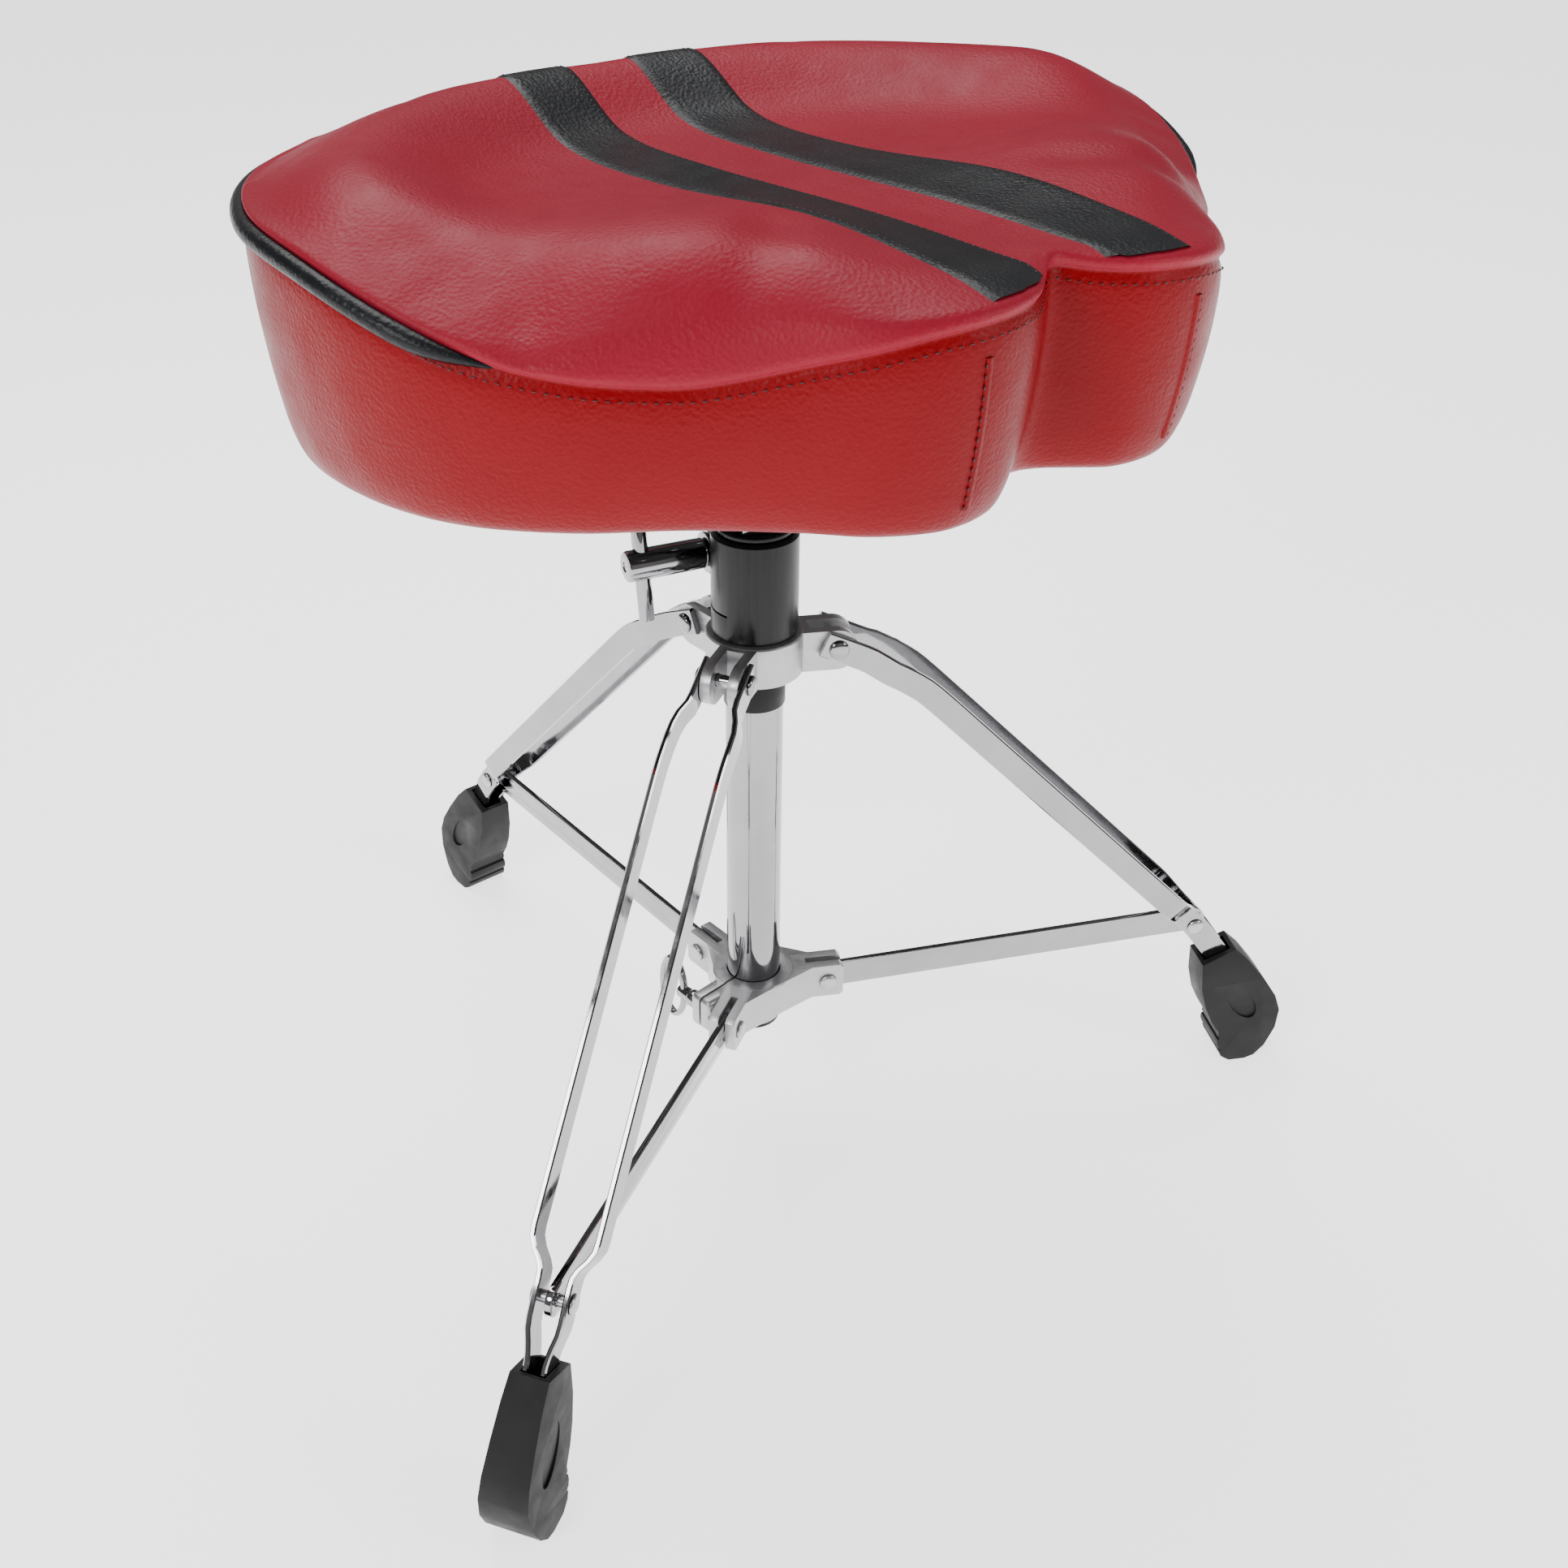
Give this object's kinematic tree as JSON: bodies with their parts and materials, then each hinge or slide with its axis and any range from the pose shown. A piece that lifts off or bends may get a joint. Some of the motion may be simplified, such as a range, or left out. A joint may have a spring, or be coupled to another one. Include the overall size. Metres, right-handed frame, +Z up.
{
  "type": "drum throne",
  "caption": "Height-adjustable stool with a two-lobed saddle-shaped padded seat, a clamped chrome post and a folding double-braced tripod on rubber feet.",
  "frame": {"origin": "middle of the bounding box at floor level", "axes": "+Z up along the column, -Y the way the sitter faces, +X to the sitter's left"},
  "size_m": [0.5736, 0.5238, 0.5695],
  "materials": {
    "chrome": "polished chrome plate",
    "steel": "zinc-plated steel",
    "black_metal": "satin black",
    "cast": "satin cast",
    "nylon": "moulded black nylon",
    "rubber": "moulded black rubber",
    "red_vinyl": "grained vinyl",
    "black_vinyl": "grained vinyl",
    "foam": "open-cell upholstery foam",
    "plywood": "raw plywood",
    "fabric": "non-woven cloth"
  },
  "bodies": {
    "column": {"center_tube": "chrome", "tube_end_plug": "nylon", "tube_bush": "nylon", "tube_band": "nylon", "lock_washer": "black_metal", "lock_nut": "chrome", "clamp_sleeve": "black_metal", "clamp_nut": "steel", "upper_collar": "cast", "leg_1_pivot_pin": "chrome", "leg_2_pivot_pin": "chrome", "leg_3_pivot_pin": "chrome"},
    "post": {"seat_post": "chrome", "thrust_washer": "nylon"},
    "seat": {"seat_cover": "red_vinyl", "seat_foam": "foam", "seat_piping": "black_vinyl", "stripe_left": "black_vinyl", "stripe_right": "black_vinyl", "seat_board": "plywood", "dust_cover": "fabric", "seat_bracket": "black_metal", "socket_set_screw": "steel", "bracket_screw_1": "steel", "bracket_screw_2": "steel", "bracket_screw_3": "steel", "bracket_screw_4": "steel"},
    "clamp": {"clamp_screw": "chrome", "clamp_handle": "chrome", "clamp_washer": "chrome"},
    "collar": {"lower_collar": "cast", "collar_pin_1": "steel", "collar_pin_2": "steel", "collar_pin_3": "steel"},
    "wing": {"wing_screw": "chrome"},
    "leg_1": {"leg_1_bar_left": "chrome", "leg_1_bar_right": "chrome", "leg_1_foot": "rubber", "leg_1_strut_rivet_left": "steel", "leg_1_strut_rivet_right": "steel"},
    "strut_1": {"leg_1_strut": "chrome"},
    "leg_2": {"leg_2_bar_left": "chrome", "leg_2_bar_right": "chrome", "leg_2_foot": "rubber", "leg_2_strut_rivet_left": "steel", "leg_2_strut_rivet_right": "steel"},
    "strut_2": {"leg_2_strut": "chrome"},
    "leg_3": {"leg_3_bar_left": "chrome", "leg_3_bar_right": "chrome", "leg_3_foot": "rubber", "leg_3_strut_rivet_left": "steel", "leg_3_strut_rivet_right": "steel"},
    "strut_3": {"leg_3_strut": "chrome"}
  },
  "joints": [
    {"name": "post_height", "type": "slide", "parent": "column", "child": "post", "axis": [0, 0, 1], "range_m": [0, 0.12]},
    {"name": "seat_swivel", "type": "hinge", "parent": "post", "child": "seat", "pos_m": [0, -0.0626, 0.43], "axis": [0, 0, 1], "continuous": true},
    {"name": "clamp_turn", "type": "hinge", "parent": "column", "child": "clamp", "pos_m": [0.00738, -0.03507, 0.35], "axis": [-0.9659, 0.2588, 0], "range_deg": [-170, 0]},
    {"name": "collar_slide", "type": "slide", "parent": "column", "child": "collar", "axis": [0, 0, 1], "range_m": [0, 0.1354]},
    {"name": "wing_turn", "type": "hinge", "parent": "collar", "child": "wing", "pos_m": [-0.03487, -0.06565, 0.091], "axis": [-0.0872, 0.9962, 0], "range_deg": [-170, 0]},
    {"name": "leg_1_fold", "type": "hinge", "parent": "column", "child": "leg_1", "pos_m": [0.03568, -0.0832, 0.3081], "axis": [0.5, 0.866, 0], "range_deg": [0, 38]},
    {"name": "strut_1_fold", "type": "hinge", "parent": "collar", "child": "strut_1", "pos_m": [0.03655, -0.0837, 0.0903], "axis": [0.5, 0.866, 0], "range_deg": [0, 81.1]},
    {"name": "leg_2_fold", "type": "hinge", "parent": "column", "child": "leg_2", "pos_m": [0, -0.0214, 0.3081], "axis": [-1, 0, 0], "range_deg": [0, 38]},
    {"name": "strut_2_fold", "type": "hinge", "parent": "collar", "child": "strut_2", "pos_m": [0, -0.0204, 0.0903], "axis": [-1, 0, 0], "range_deg": [0, 81.1]},
    {"name": "leg_3_fold", "type": "hinge", "parent": "column", "child": "leg_3", "pos_m": [-0.03568, -0.0832, 0.3081], "axis": [0.5, -0.866, 0], "range_deg": [0, 38]},
    {"name": "strut_3_fold", "type": "hinge", "parent": "collar", "child": "strut_3", "pos_m": [-0.03655, -0.0837, 0.0903], "axis": [0.5, -0.866, 0], "range_deg": [0, 81.1]}
  ],
  "couplings": [
    {"joint": "strut_1_fold", "follows": "leg_1_fold", "ratio": 2.1342},
    {"joint": "leg_2_fold", "follows": "leg_1_fold", "ratio": 1},
    {"joint": "strut_2_fold", "follows": "leg_1_fold", "ratio": 2.1342},
    {"joint": "leg_3_fold", "follows": "leg_1_fold", "ratio": 1},
    {"joint": "strut_3_fold", "follows": "leg_1_fold", "ratio": 2.1342},
    {"joint": "collar_slide", "follows": "leg_1_fold", "m_per_rad": 0.20415}
  ]
}
